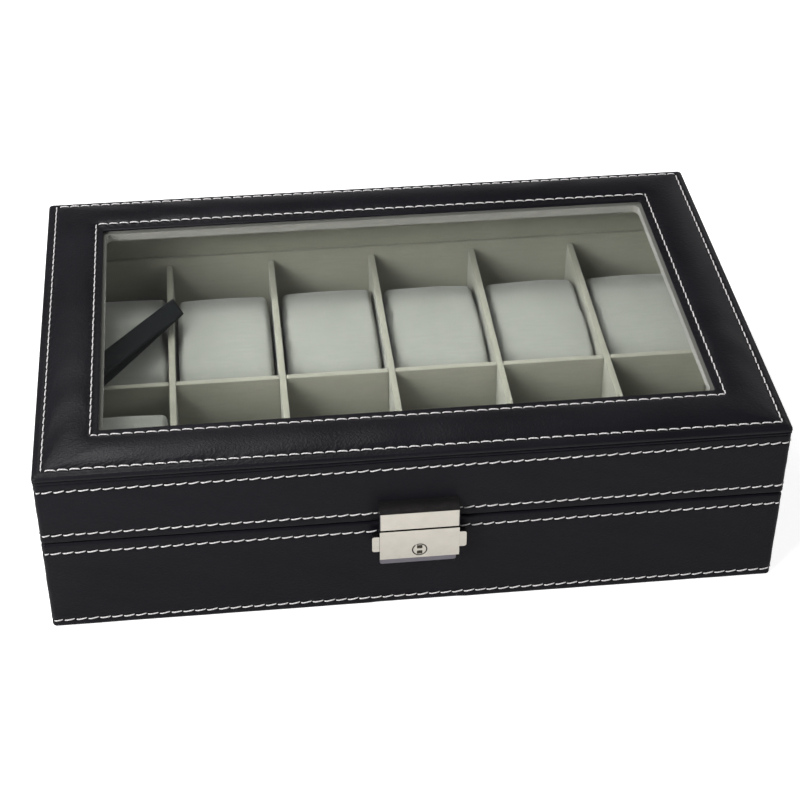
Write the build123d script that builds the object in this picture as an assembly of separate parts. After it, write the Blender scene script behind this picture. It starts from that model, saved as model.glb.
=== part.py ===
from build123d import *
import os
from math import cos, radians

# Display case for twelve watches: a leather-covered base and a hinged lid with a glass window.
# Millimetres. X runs to the right, Y to the back, Z up. The origin is the middle of the underside.

# Whole case
case_width = 300.0
case_depth = 200.0
base_height = 45.15
lid_gap = 0.3
lid_wall_height = 31.55
panel_overhang = 0.4

# Leather, boards and linings
leather = 0.9
leather_corner_radius = 1.5
leather_edge_radius = 0.6
turned_in_margin = 9.0
base_board = 3.5
lid_board = 2.6
bottom_board = 3.0
window_board = 2.6
lining = 0.5
floor_lining = 0.6
underside_sheet = 0.3
underside_margin = 2.0
liner = 1.7
liner_rise = 3.55

# Padded top panel of the lid
panel_card = 1.4
glass = 2.0
glass_overlap = 2.0
glass_clearance = 0.25
window_corner_radius = 1.2
window_ledge = 1.2
opening_corner_radius = 3.0
panel_leather = 0.8
panel_edge = 2.2
panel_edge_radius = 1.0
outer_seam_inset = 3.8
outer_seam_rise = 0.5
inner_seam_inset = 22.4
inner_seam_rise = 1.7
crown_rise = 0.9
side_lip = 3.1
front_lip = 4.3
lip_slope = 1.3

# Dividers and their halved joints
divider = 2.8
divider_drop = 0.35
divider_end_clearance = 0.15
halving_clearance = 0.1
columns = 6

# Pillows
pillow_side_gap = 1.5
pillow_wall_gap = 6.4
pillow_divider_gap = 5.7
pillow_drop = 2.4
pillow_lift_off = 0.3
pillow_side_tuck = 1.6
pillow_edge_tuck = 0.5
pillow_shoulder = 2.2
pillow_belly = 18.0
pillow_foot_inset = 18.0
foot_round_inset = 4.0
foot_round_height = 5.8
shoulder_round_inset = 4.6
shoulder_round_drop = 7.7
shoulder_inset = 17.6
shoulder_drop = 1.7

# How far each pillow lies off the middle of its compartment: to the right, and towards the front
back_shifts = [0.9, 0.0, 0.5, 0.5, 0.7, 1.0]
front_shifts = [0.4, -0.5, 0.3, -0.6, 0.5, -0.3]
back_slides = [1.8, 4.5, 3.6, 5.3, 5.4, 4.8]
front_slides = [-4.0, 5.6, 5.7, 5.5, 5.8, 5.6]

# Ribbon that stops the lid, folded in two while the lid is shut
ribbon_width = 11.2
ribbon_thickness = 0.5
ribbon_leaf = 84.4
ribbon_bearing = 53.3
ribbon_root_y = -16.1
ribbon_leaf_gap = 0.6
ribbon_lift = 0.3
ribbon_glued_end = 10.0

# Hinges
hinge_inset = 60.0
hinge_length = 34.0
hinge_leaf = 12.0
hinge_plate = 1.0
knuckle_radius = 2.0
knuckle_stand_off = 0.1
knuckle_gap = 0.2
leaf_gap = 0.3
hinge_pin_radius = 0.9
running_clearance = 0.05

# Screws and tacks
screw_radius = 0.75
screw_head_radius = 1.8
screw_head = 0.9
screw_length = 4.0
screw_spacing = 22.0
screw_slot = 0.5
tack_radius = 0.6
tack_head_radius = 1.3
tack_head = 0.5
tack_length = 4.2
drive_clearance = 0.03

# Lock
lock_width = 32.2
lock_proud = 6.0
lock_sheet = 0.7
lock_plate = 0.8
lock_drop = 0.85
back_plate_foot = 7.0
back_plate_margin = 0.5
back_plate_corner = 1.0
strike_gap = 0.9
strike_face_height = 8.3
strike_top_slope = 2.0
strike_edge_radius = 0.6
lock_tack_spacing = 22.0
lock_tack_rise = 4.1
strike_tack_spacing = 20.0

# Push tabs of the lock and the prongs that they catch
tab_reach = 3.0
tab_travel = 2.4
tab_drop = 3.1
tab_height = 7.8
tab_thickness = 2.8
tab_front_gap = 0.2
tab_clearance = 0.15
tab_shoulder = 0.5
tab_corner = 1.0
tab_arm = 3.0
tab_arm_end = 5.0
tab_body_end = 8.0
prong_x = 11.2
prong_width = 1.6
prong_thickness = 1.0
prong_depth = 7.7
prong_barb = 0.7
prong_clearance = 0.35
catch_clearance = 0.15

# Tab spring
spring_wire_radius = 0.2
spring_radius = 1.1
spring_turns = 6

# Key plug and its cam
key_drop = 10.3
plug_floor_gap = 0.5
plug_radius = 3.0
plug_face = 2.2
plug_chamfer = 0.3
plug_neck_radius = 1.6
plug_journal_radius = 0.9
key_slot_width = 2.2
key_slot_height = 4.6
key_slot_depth = 1.6
key_bar = 1.1
cam_reach = 3.1
cam_width = 2.6
cam_thickness = 0.8
cam_back_gap = 1.4


def block(x0, x1, y0, y1, z0, z1):
    """A box between two corners."""
    size = Box(x1 - x0, y1 - y0, z1 - z0)
    return Pos((x0 + x1) / 2, (y0 + y1) / 2, (z0 + z1) / 2) * size


def slab(half_x, half_y, z0, z1):
    """A box centred on the origin in plan."""
    return block(-half_x, half_x, -half_y, half_y, z0, z1)


def rod(radius, start, length, direction):
    """A round bar from a start point."""
    plane = Plane(origin=start, z_dir=direction)
    return extrude(plane * Circle(radius), amount=length)


def both_sides(shape):
    """A piece and its mirror image across the middle of the case, as separate solids."""
    return Compound(children=[shape, mirror(shape, about=Plane.YZ)])


def save(node, shape):
    """Write one sub-part under its node name."""
    if isinstance(shape, Compound):
        shape = Compound(children=list(shape.solids()))
        if len(shape.solids()) == 1:
            shape = shape.solids()[0]
    export_step(shape, f"parts/{node}.step")


# Heights, from the ground up
margin_z = underside_sheet
bottom_z = margin_z + leather
lining_z = bottom_z + bottom_board
floor_z = lining_z + floor_lining
rim_z = base_height
lip_z = rim_z + liner_rise
lid_z = rim_z + lid_gap
panel_z = lid_z + lid_wall_height
window_board_z = panel_z - window_board
card_top_z = panel_z + panel_card
glass_z = panel_z + lining
edge_top_z = panel_z + panel_edge
crown_z = edge_top_z + inner_seam_rise + crown_rise
divider_top_z = rim_z - divider_drop
divider_middle_z = (floor_z + divider_top_z) / 2
lock_top = rim_z - lock_drop
key_height = lock_top - key_drop
lock_bottom = key_height - plug_radius - plug_floor_gap - lock_sheet
back_plate_bottom = lock_bottom - back_plate_foot
lock_tack_height = back_plate_bottom + lock_tack_rise
tab_top = lock_top - tab_drop
tab_bottom = tab_top - tab_height
prong_bottom = lock_top - prong_depth

# Half widths and half depths, from the outside in
wrap_x = case_width / 2 - panel_overhang
wrap_y = case_depth / 2 - panel_overhang
board_x = wrap_x - leather
board_y = wrap_y - leather
base_inner_x = board_x - base_board
base_inner_y = board_y - base_board
room_x = base_inner_x - liner
room_y = base_inner_y - liner
lid_inner_x = board_x - lid_board
lid_inner_y = board_y - lid_board
lid_room_x = lid_inner_x - lining
lid_room_y = lid_inner_y - lining
window_x = case_width / 2 - inner_seam_inset - side_lip
window_y = case_depth / 2 - inner_seam_inset - front_lip
opening_x = window_x - window_ledge
opening_y = window_y - window_ledge
glass_x = window_x + glass_overlap
glass_y = window_y + glass_overlap
column_pitch = (2 * room_x + divider) / columns
pillow_width = column_pitch - divider - 2 * pillow_side_gap
pillow_length = room_y - divider / 2 - pillow_wall_gap - pillow_divider_gap
pillow_height = divider_top_z - pillow_drop - floor_z - pillow_lift_off

# Hinge and lock places
hinge_x = case_width / 2 - hinge_inset
axis_y = wrap_y + knuckle_radius + knuckle_stand_off
axis_z = rim_z + lid_gap / 2
lock_front_y = -wrap_y - lock_proud
lock_back_y = -wrap_y - lock_plate
lock_x = lock_width / 2
strike_bottom = lock_top + strike_gap
prong_y = lock_front_y + lock_sheet + tab_front_gap + tab_thickness / 2
screw_x = screw_spacing / 2
lid_screw_z = axis_z + knuckle_radius + leaf_gap + hinge_leaf / 2
base_screw_z = axis_z - knuckle_radius - leaf_gap - hinge_leaf / 2
strike_tack_z = strike_bottom + strike_face_height / 2 + lock_sheet
screw_places = [(side * hinge_x + step * screw_x) for side in (-1, 1) for step in (-1, 1)]


def screw_holes(height):
    """Holes for the hinge screws, from the back face of the case inwards."""
    hole = screw_radius + drive_clearance
    start = axis_y + knuckle_radius
    depth = start - (wrap_y + hinge_plate - screw_length) + drive_clearance
    return [rod(hole, (x, start, height), depth, (0, -1, 0)) for x in screw_places]


def tack_holes(spacing, height):
    """Holes for the lock's tacks, from the front of the lock inwards."""
    hole = tack_radius + drive_clearance
    depth = lock_proud - lock_plate + tack_length + drive_clearance
    return [rod(hole, (x, lock_front_y, height), depth, (0, 1, 0)) for x in (-spacing / 2, spacing / 2)]


lid_screw_holes = screw_holes(lid_screw_z)
base_screw_holes = screw_holes(base_screw_z)
lock_tack_holes = tack_holes(lock_tack_spacing, lock_tack_height)
strike_tack_holes = tack_holes(strike_tack_spacing, strike_tack_z)


def leather_wrap(z0, z1):
    """The outside of a leather side wrap, with its corners and both edges rounded."""
    skin = slab(wrap_x, wrap_y, z0, z1)
    skin = fillet(skin.edges().filter_by(Axis.Z), leather_corner_radius)
    rims = skin.edges().group_by(Axis.Z)
    return skin, rims


def base_side_wrap():
    """Leather round the base, folded in over the rim and under the walls."""
    skin, rims = leather_wrap(margin_z, rim_z)
    skin = fillet(rims[0] + rims[-1], leather_edge_radius)
    skin -= slab(board_x, board_y, bottom_z, rim_z - leather)
    skin -= slab(base_inner_x, base_inner_y, bottom_z, rim_z)
    inset = turned_in_margin
    skin -= slab(wrap_x - inset, wrap_y - inset, margin_z, bottom_z)
    return skin - base_screw_holes - lock_tack_holes


def lid_side_wrap():
    """Leather round the lid walls, folded in under their lower edges."""
    skin, rims = leather_wrap(lid_z, panel_z)
    skin = fillet(rims[0], leather_edge_radius)
    skin -= slab(board_x, board_y, lid_z + leather, panel_z)
    skin -= slab(lid_inner_x, lid_inner_y, lid_z, panel_z)
    return skin - lid_screw_holes - strike_tack_holes


def wall_boards(inner_x, inner_y, z0, z1):
    """Front, back, left and right boards, the long ones over the ends of the short ones."""
    front = block(-board_x, board_x, -board_y, -inner_y, z0, z1)
    back = block(-board_x, board_x, inner_y, board_y, z0, z1)
    left = block(-board_x, -inner_x, -inner_y, inner_y, z0, z1)
    right = block(inner_x, board_x, -inner_y, inner_y, z0, z1)
    return front, back, left, right


def frame(outer_x, outer_y, inner_x, inner_y, z0, z1):
    """A flat rectangular frame."""
    return slab(outer_x, outer_y, z0, z1) - slab(inner_x, inner_y, z0, z1)


def window(z0, z1):
    """The edge of the leather round the window, as a solid."""
    pane = slab(window_x, window_y, z0, z1)
    return fillet(pane.edges().filter_by(Axis.Z), window_corner_radius)


def opening(growth, z0, z1):
    """The lined opening under the glass as a solid, larger all round by growth."""
    hole = slab(opening_x + growth, opening_y + growth, z0, z1)
    return fillet(hole.edges().filter_by(Axis.Z), opening_corner_radius + growth)


def panel_side(section, half_length, half_across, depth):
    """One mitred side of the top panel, made as the front side of a panel of these half sizes."""
    plane = Plane(origin=(0, -half_across, panel_z), x_dir=(0, 1, 0), z_dir=(1, 0, 0))
    bar = extrude(plane * section, amount=half_length, both=True)
    past = panel_leather
    short = half_length - depth
    inner = -half_across + depth
    mitre = Polyline(
        (-half_length, -half_across), (half_length, -half_across),
        (short, inner), (-short, inner), close=True,
    )
    height = crown_z - panel_z + 2 * past
    return bar & (Pos(0, 0, panel_z - past) * extrude(make_face(mitre), amount=height))


def mitred_frame(section, depth):
    """A section run round the top panel with mitred corners. Its points are inset and height."""
    half_x = case_width / 2
    half_y = case_depth / 2
    front = panel_side(section, half_x, half_y, depth)
    side = Rot(0, 0, 90) * panel_side(section, half_y, half_x, depth)
    return front + side + Rot(0, 0, 180) * front + Rot(0, 0, 180) * side


# Section of the padded panel: heights above its underside, at insets from the case's edge
outer_seam_top = panel_edge + outer_seam_rise
inner_seam_top = panel_edge + inner_seam_rise
mid_inset = (outer_seam_inset + inner_seam_inset) / 2
mid_top = (outer_seam_top + inner_seam_top) / 2 + crown_rise
lip_seat = lining + glass
lip_top = lip_seat + panel_leather
lip_start = inner_seam_inset + lip_slope
lip_reach = inner_seam_inset + max(side_lip, front_lip) + panel_leather


def crown(drop):
    """The padded arc between the two seams, lowered by drop."""
    return ThreePointArc(
        (outer_seam_inset, outer_seam_top - drop), (mid_inset, mid_top - drop),
        (inner_seam_inset, inner_seam_top - drop),
    )


def lid_cover():
    """Padded leather cover of the lid's top, crowned between its seams and turned down to the glass."""
    round_start = (0, panel_edge - panel_edge_radius)
    corner_z = panel_edge - panel_leather
    section = [
        Line((0, 0), round_start),
        RadiusArc(round_start, (panel_edge_radius, panel_edge), panel_edge_radius),
        Line((panel_edge_radius, panel_edge), (outer_seam_inset, outer_seam_top)),
        crown(0),
        Line((inner_seam_inset, inner_seam_top), (lip_start, lip_top)),
        Line((lip_start, lip_top), (lip_reach, lip_top)),
        Line((lip_reach, lip_top), (lip_reach, lip_seat)),
        Line((lip_reach, lip_seat), (lip_start, lip_seat)),
        Line((lip_start, lip_seat), (inner_seam_inset, inner_seam_top - panel_leather)),
        crown(panel_leather),
        Line((outer_seam_inset, outer_seam_top - panel_leather), (panel_leather, corner_z)),
        Line((panel_leather, corner_z), (panel_leather, 0)),
        Line((panel_leather, 0), (0, 0)),
    ]
    skin = mitred_frame(make_face(Curve() + section), lip_reach)
    return skin - window(panel_z, crown_z)


def lid_padding():
    """Foam between the panel card and the crowned leather."""
    section = [
        crown(panel_leather),
        Line((inner_seam_inset, inner_seam_top - panel_leather), (inner_seam_inset, panel_card)),
        Line((inner_seam_inset, panel_card), (outer_seam_inset, panel_card)),
        Line((outer_seam_inset, panel_card), (outer_seam_inset, outer_seam_top - panel_leather)),
    ]
    return mitred_frame(make_face(Curve() + section), inner_seam_inset)


def window_lining():
    """Pale lining under the window board, up round its opening and out over its top under the glass."""
    under_z = window_board_z - lining
    sheet = slab(lid_inner_x, lid_inner_y, under_z, window_board_z)
    ledge = slab(glass_x, glass_y, panel_z, glass_z)
    return sheet + opening(lining, under_z, glass_z) + ledge - opening(0, under_z, glass_z)


def hinge_plate_with_knuckles(z_side, spans):
    """One leaf of a hinge at the middle of the case; spans are where its knuckles lie along X."""
    near = axis_z + z_side * (knuckle_radius + leaf_gap)
    far = near + z_side * hinge_leaf
    half = hinge_length / 2
    back_y = wrap_y + hinge_plate
    leaf = block(-half, half, wrap_y, back_y, min(near, far), max(near, far))
    for x0, x1 in spans:
        leaf += block(x0, x1, wrap_y + knuckle_stand_off, back_y, min(axis_z, near), max(axis_z, near))
        leaf += rod(knuckle_radius, (x0, axis_y, axis_z), x1 - x0, (1, 0, 0))
    leaf -= rod(hinge_pin_radius + running_clearance, (-half, axis_y, axis_z), hinge_length, (1, 0, 0))
    return leaf


def hinge_leaves(z_side, spans, holes):
    """The same leaf on both hinges, with its screw holes."""
    leaf = hinge_plate_with_knuckles(z_side, spans)
    leaves = [Pos(side * hinge_x, 0, 0) * leaf for side in (-1, 1)]
    return Compound(children=[one - holes for one in leaves])


def hinge_pins():
    """Pins as long as the hinges, flush with the ends of the knuckles."""
    pin = rod(hinge_pin_radius, (-hinge_length / 2, axis_y, axis_z), hinge_length, (1, 0, 0))
    return Compound(children=[Pos(side * hinge_x, 0, 0) * pin for side in (-1, 1)])


def screw(x, height):
    """A small domed screw with a slot, driven in from the back."""
    seat = wrap_y + hinge_plate
    head = rod(screw_head_radius, (x, seat, height), screw_head, (0, 1, 0))
    head = fillet(head.edges().group_by(Axis.Y)[-1], screw_head / 2)
    slot_depth = screw_head / 3
    slot = block(
        x - screw_head_radius, x + screw_head_radius, seat + screw_head - slot_depth, seat + screw_head,
        height - screw_slot / 2, height + screw_slot / 2,
    )
    shank = rod(screw_radius, (x, seat - screw_length, height), screw_length, (0, 1, 0))
    return head - slot + shank


def tack(x, height):
    """A tack with a flat head, driven in from the front through a lock plate."""
    head = rod(tack_head_radius, (x, lock_back_y - tack_head, height), tack_head, (0, 1, 0))
    shank = rod(tack_radius, (x, lock_back_y, height), tack_length, (0, 1, 0))
    return head + shank


def lock_case():
    """Folded sheet case of the lock, with a keyhole, windows for the tabs and slots for the prongs."""
    shell = block(-lock_x, lock_x, lock_front_y, lock_back_y, lock_bottom, lock_top)
    wall = lock_sheet
    hollow_x = lock_x - wall
    shell -= block(
        -hollow_x, hollow_x, lock_front_y + wall, lock_back_y, lock_bottom + wall, lock_top - wall
    )
    shell -= rod(plug_radius + running_clearance, (0, lock_front_y, key_height), wall, (0, 1, 0))
    half = tab_thickness / 2 + tab_clearance
    window_z0 = tab_bottom - tab_clearance
    window_z1 = tab_top + tab_clearance
    shell -= block(-lock_x, lock_x, prong_y - half, prong_y + half, window_z0, window_z1)
    shell -= prong_slots(lock_top - wall, lock_top)
    return shell


def prong_slots(z0, z1):
    """Clearance slots for the two prongs between two heights."""
    half_y = prong_thickness / 2 + prong_clearance
    x0 = prong_x - prong_width / 2 - prong_barb - prong_clearance
    x1 = prong_x + prong_width / 2 + prong_clearance
    slot = block(x0, x1, prong_y - half_y, prong_y + half_y, z0, z1)
    return [slot, mirror(slot, about=Plane.YZ)]


def lock_back_plate():
    """Plate behind the lock case; its lower end takes two tacks."""
    half = lock_x - back_plate_margin
    plate = block(-half, half, lock_back_y, -wrap_y, back_plate_bottom, lock_top)
    feet = plate.edges().filter_by(Axis.Y).group_by(Axis.Z)[0]
    plate = fillet(feet, back_plate_corner)
    bearing = plug_journal_radius + running_clearance
    plate -= rod(bearing, (0, lock_back_y, key_height), lock_plate, (0, 1, 0))
    return plate - lock_tack_holes


def push_tab():
    """Right-hand push tab: a pad outside the case, a slotted body inside and an arm to the spring."""
    y0 = prong_y - tab_thickness / 2
    y1 = prong_y + tab_thickness / 2
    pad = block(tab_body_end, lock_x + tab_reach, y0, y1, tab_bottom, tab_top)
    outer_edges = pad.edges().filter_by(Axis.Y).group_by(Axis.X)[-1]
    pad = fillet(outer_edges, tab_corner)
    shoulder_x = lock_x - lock_sheet - tab_clearance
    shoulder_z0 = tab_bottom - tab_shoulder
    shoulder_z1 = tab_top + tab_shoulder
    pad += block(tab_body_end, shoulder_x, y0, y1, shoulder_z0, shoulder_z1)
    pad += block(tab_arm_end, tab_body_end, y0, y1, tab_top - tab_arm, tab_top)
    catch_x = prong_x - prong_width / 2 - prong_barb - catch_clearance
    slot_end = prong_x + prong_width / 2 + tab_travel + catch_clearance
    half_y = prong_thickness / 2 + prong_clearance
    pad -= block(catch_x, slot_end, prong_y - half_y, prong_y + half_y, shoulder_z0, shoulder_z1)
    return pad


def tab_spring():
    """Coil spring that pushes the two tabs apart, seated on the ends of their arms."""
    gap = spring_wire_radius + running_clearance
    length = 2 * (tab_arm_end - gap)
    coil = Helix(pitch=length / spring_turns, height=length, radius=spring_radius)
    section = Plane(origin=coil @ 0, z_dir=coil % 0) * Circle(spring_wire_radius)
    spring = sweep(section, path=coil, is_frenet=True)
    lift = tab_top - tab_arm / 2
    return Pos(-length / 2, prong_y, lift) * (Rot(0, 90, 0) * spring)


def key_plug():
    """Round plug with a keyhole cut by a bridge, a neck for the cam and a journal in the back plate."""
    plug = rod(plug_radius, (0, lock_front_y, key_height), plug_face, (0, 1, 0))
    plug = chamfer(plug.edges().group_by(Axis.Y)[0], plug_chamfer)
    slot = block(
        -key_slot_width / 2, key_slot_width / 2, lock_front_y, lock_front_y + key_slot_depth,
        key_height - key_slot_height / 2, key_height + key_slot_height / 2,
    )
    bridge = block(
        -key_slot_width / 2, key_slot_width / 2, lock_front_y, lock_front_y + key_slot_depth,
        key_height - key_bar / 2, key_height + key_bar / 2,
    )
    plug -= slot - bridge
    neck_start = lock_front_y + plug_face
    neck_end = lock_back_y - cam_back_gap
    plug += rod(plug_neck_radius, (0, neck_start, key_height), neck_end - neck_start, (0, 1, 0))
    plug += rod(plug_journal_radius, (0, neck_end, key_height), cam_back_gap + lock_plate / 2, (0, 1, 0))
    return plug


def key_cam():
    """Small lever on the plug's neck, hanging down at rest."""
    y1 = lock_back_y - cam_back_gap
    y0 = y1 - cam_thickness
    boss = rod(cam_width / 2 + lock_sheet, (0, y0, key_height), cam_thickness, (0, 1, 0))
    half = cam_width / 2
    lever = block(-half, half, y0, y1, key_height - cam_reach, key_height)
    hole = rod(plug_neck_radius + drive_clearance, (0, y0, key_height), cam_thickness, (0, 1, 0))
    return boss + lever - hole


def strike_case():
    """Folded sheet case on the lid above the lock, its top sloping back to the leather."""
    top = strike_bottom + strike_face_height
    wall = lock_sheet
    outer = Polyline(
        (lock_front_y, strike_bottom), (lock_front_y, top), (-wrap_y, top + strike_top_slope),
        (-wrap_y, strike_bottom), close=True,
    )
    inner = Polyline(
        (lock_front_y + wall, strike_bottom + wall), (lock_front_y + wall, top - wall),
        (-wrap_y, top + strike_top_slope - wall), (-wrap_y, strike_bottom + wall), close=True,
    )
    shell = extrude(Plane.YZ * make_face(outer), amount=lock_x, both=True)
    corners = shell.edges().filter_by(Axis.Z).group_by(Axis.Y)[0]
    shell = fillet(corners, strike_edge_radius)
    shell -= extrude(Plane.YZ * make_face(inner), amount=lock_x - wall, both=True)
    return shell - prong_slots(strike_bottom, strike_bottom + wall)


def strike_back_plate():
    """Plate inside the strike case that carries its tacks."""
    half = lock_x - lock_sheet - running_clearance
    z0 = strike_bottom + lock_sheet
    plate = block(-half, half, lock_back_y, -wrap_y, z0, z0 + strike_face_height)
    return plate - strike_tack_holes


def catch_prongs():
    """Bar on the floor of the strike case with two barbed prongs that drop into the lock."""
    bar_z = strike_bottom + lock_sheet
    half_y = prong_thickness / 2
    y0 = prong_y - half_y
    y1 = prong_y + half_y
    outer_x = prong_x + prong_width / 2
    inner_x = prong_x - prong_width / 2
    bar_reach = outer_x + 2 * prong_clearance
    bar = block(-bar_reach, bar_reach, y0, lock_back_y, bar_z, bar_z + prong_thickness)
    for side in (-1, 1):
        x0, x1 = sorted((side * inner_x, side * outer_x))
        bar += block(x0, x1, y0, y1, prong_bottom, bar_z)
        x0, x1 = sorted((side * (inner_x - prong_barb), side * inner_x))
        bar += block(x0, x1, y0, y1, prong_bottom, prong_bottom + prong_thickness)
    return bar


def cross_divider(x):
    """Divider from front to back, cut from below where the long divider crosses it."""
    reach = room_y - divider_end_clearance
    half = divider / 2
    board = block(x - half, x + half, -reach, reach, floor_z, divider_top_z)
    cut = half + halving_clearance
    return board - block(x - half, x + half, -cut, cut, floor_z, divider_middle_z + halving_clearance)


def long_divider():
    """Divider from left to right, cut from above where the cross dividers pass through."""
    reach = room_x - divider_end_clearance
    half = divider / 2
    board = block(-reach, reach, -half, half, floor_z, divider_top_z)
    cut = half + halving_clearance
    for x in divider_places():
        board -= block(x - cut, x + cut, -half, half, divider_middle_z, divider_top_z)
    return board


def divider_places():
    """X of each cross divider."""
    return [(k - columns / 2) * column_pitch for k in range(1, columns)]


def pillow_section(x, tuck):
    """Outline of a pillow from end to end at one X, drawn in by tuck all round but at the base."""
    reach = pillow_length / 2 - tuck
    top = pillow_height - tuck
    points = {
        "foot": (reach - pillow_foot_inset, 0.0),
        "foot_mid": (reach - foot_round_inset, foot_round_height),
        "side": (reach, pillow_belly),
        "shoulder_mid": (reach - shoulder_round_inset, top - shoulder_round_drop),
        "shoulder": (reach - shoulder_inset, top - shoulder_drop),
        "crown": (0.0, top),
    }

    def at(name, side):
        y, z = points[name]
        return (side * y, z)

    edges = [
        Line(at("foot", -1), at("foot", 1)),
        ThreePointArc(at("foot", 1), at("foot_mid", 1), at("side", 1)),
        ThreePointArc(at("side", 1), at("shoulder_mid", 1), at("shoulder", 1)),
        ThreePointArc(at("shoulder", 1), at("crown", 1), at("shoulder", -1)),
        ThreePointArc(at("shoulder", -1), at("shoulder_mid", -1), at("side", -1)),
        ThreePointArc(at("side", -1), at("foot_mid", -1), at("foot", -1)),
    ]
    plane = Plane(origin=(x, 0, 0), x_dir=(0, 1, 0), z_dir=(1, 0, 0))
    return plane * make_face(Curve() + edges)


def pillow(centre_x, centre_y):
    """One velvet pillow: crowned top, flat where it rests, its two ends drawn in."""
    half = pillow_width / 2
    stations = [
        (-half, pillow_side_tuck),
        (-half + pillow_shoulder, pillow_edge_tuck),
        (0.0, 0.0),
        (half - pillow_shoulder, pillow_edge_tuck),
        (half, pillow_side_tuck),
    ]
    body = loft([pillow_section(x, tuck) for x, tuck in stations], ruled=True)
    return Pos(centre_x, centre_y, floor_z + pillow_lift_off) * body


def ribbon_stay():
    """Folded ribbon: a leaf from the base, a fold at its tip and a leaf back to the lid."""
    z0 = divider_top_z + ribbon_lift
    z1 = z0 + ribbon_thickness
    z2 = z1 + ribbon_leaf_gap
    z3 = z2 + ribbon_thickness
    wall_x = -room_x + running_clearance
    bearing = radians(ribbon_bearing)
    spread = ribbon_width / 2 / cos(bearing)
    turn = Location((wall_x, ribbon_root_y, 0), (0, 0, ribbon_bearing))
    back = ribbon_width
    half = ribbon_width / 2
    lower = turn * block(-back, ribbon_leaf, -half, half, z0, z1)
    upper = turn * block(-back, ribbon_leaf, -half, half, z2, z3)
    fold = turn * block(ribbon_leaf - ribbon_thickness, ribbon_leaf, -half, half, z0, z3)
    leaves = lower + upper + fold
    room = block(wall_x, room_x, -room_y, room_y, z0, z3)
    leaves = leaves & room
    y0 = ribbon_root_y - spread
    y1 = ribbon_root_y + spread
    glued = block(wall_x, wall_x + ribbon_thickness, y0, y1, z1 - ribbon_glued_end, z1)
    riser_z = max(lip_z, z3) + ribbon_lift
    riser = block(wall_x, wall_x + ribbon_thickness, y0, y1, z2, riser_z + ribbon_thickness)
    lid_face = -lid_room_x + running_clearance
    over_lip = block(lid_face, wall_x + ribbon_thickness, y0, y1, riser_z, riser_z + ribbon_thickness)
    lid_end = block(lid_face, lid_face + ribbon_thickness, y0, y1, riser_z, riser_z + ribbon_glued_end)
    return leaves + glued + riser + over_lip + lid_end


os.makedirs("parts", exist_ok=True)

# Base: skin, boards and linings
save("base_side_wrap", base_side_wrap())
save("underside_sheet", slab(wrap_x - underside_margin, wrap_y - underside_margin, 0, margin_z))
save("bottom_board", slab(base_inner_x, base_inner_y, bottom_z, lining_z))
base_walls = wall_boards(base_inner_x, base_inner_y, bottom_z, rim_z - leather)
save("base_front_wall", base_walls[0] - lock_tack_holes)
save("base_back_wall", base_walls[1] - base_screw_holes)
save("base_left_wall", base_walls[2])
save("base_right_wall", base_walls[3])
save("floor_lining", slab(base_inner_x, base_inner_y, lining_z, floor_z))
save("front_liner", block(-base_inner_x, base_inner_x, -base_inner_y, -room_y, floor_z, lip_z))
save("back_liner", block(-base_inner_x, base_inner_x, room_y, base_inner_y, floor_z, lip_z))
save("left_liner", block(-base_inner_x, -room_x, -room_y, room_y, floor_z, lip_z))
save("right_liner", block(room_x, base_inner_x, -room_y, room_y, floor_z, lip_z))

# Dividers
save("long_divider", long_divider())
for number, place in enumerate(divider_places(), start=1):
    save(f"cross_divider_{number}", cross_divider(place))

# Pillows, numbered from the left
pillow_y = room_y - pillow_wall_gap - pillow_length / 2
for number in range(1, columns + 1):
    centre = (number - (columns + 1) / 2) * column_pitch
    back_y = pillow_y - back_slides[number - 1]
    front_y = -pillow_y - front_slides[number - 1]
    save(f"back_pillow_{number}", pillow(centre + back_shifts[number - 1], back_y))
    save(f"front_pillow_{number}", pillow(centre + front_shifts[number - 1], front_y))

# Lid: skin, boards, linings and window
save("lid_cover", lid_cover())
save("lid_padding", lid_padding())
save(
    "panel_card",
    frame(
        case_width / 2 - panel_leather, case_depth / 2 - panel_leather,
        glass_x + glass_clearance, glass_y + glass_clearance, panel_z, card_top_z,
    ),
)
save("window_glass", slab(glass_x, glass_y, glass_z, glass_z + glass))
window_frame = slab(board_x, board_y, window_board_z, panel_z)
save("window_board", window_frame - opening(lining, window_board_z, panel_z))
save("window_lining", window_lining())
save("lid_side_wrap", lid_side_wrap())
lid_walls = wall_boards(lid_inner_x, lid_inner_y, lid_z + leather, window_board_z)
save("lid_front_wall", lid_walls[0] - strike_tack_holes)
save("lid_back_wall", lid_walls[1] - lid_screw_holes)
save("lid_left_wall", lid_walls[2])
save("lid_right_wall", lid_walls[3])
save(
    "lid_wall_lining",
    frame(lid_inner_x, lid_inner_y, lid_room_x, lid_room_y, lid_z, window_board_z - lining),
)

# Hinges
third = hinge_length / 6
half_hinge = hinge_length / 2
middle_span = [(-third, third)]
end_spans = [(-half_hinge, -third - knuckle_gap), (third + knuckle_gap, half_hinge)]
save("hinge_lid_leaves", hinge_leaves(1, middle_span, lid_screw_holes))
save("hinge_base_leaves", hinge_leaves(-1, end_spans, base_screw_holes))
save("hinge_pins", hinge_pins())
save("hinge_lid_screws", Compound(children=[screw(x, lid_screw_z) for x in screw_places]))
save("hinge_base_screws", Compound(children=[screw(x, base_screw_z) for x in screw_places]))

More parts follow.
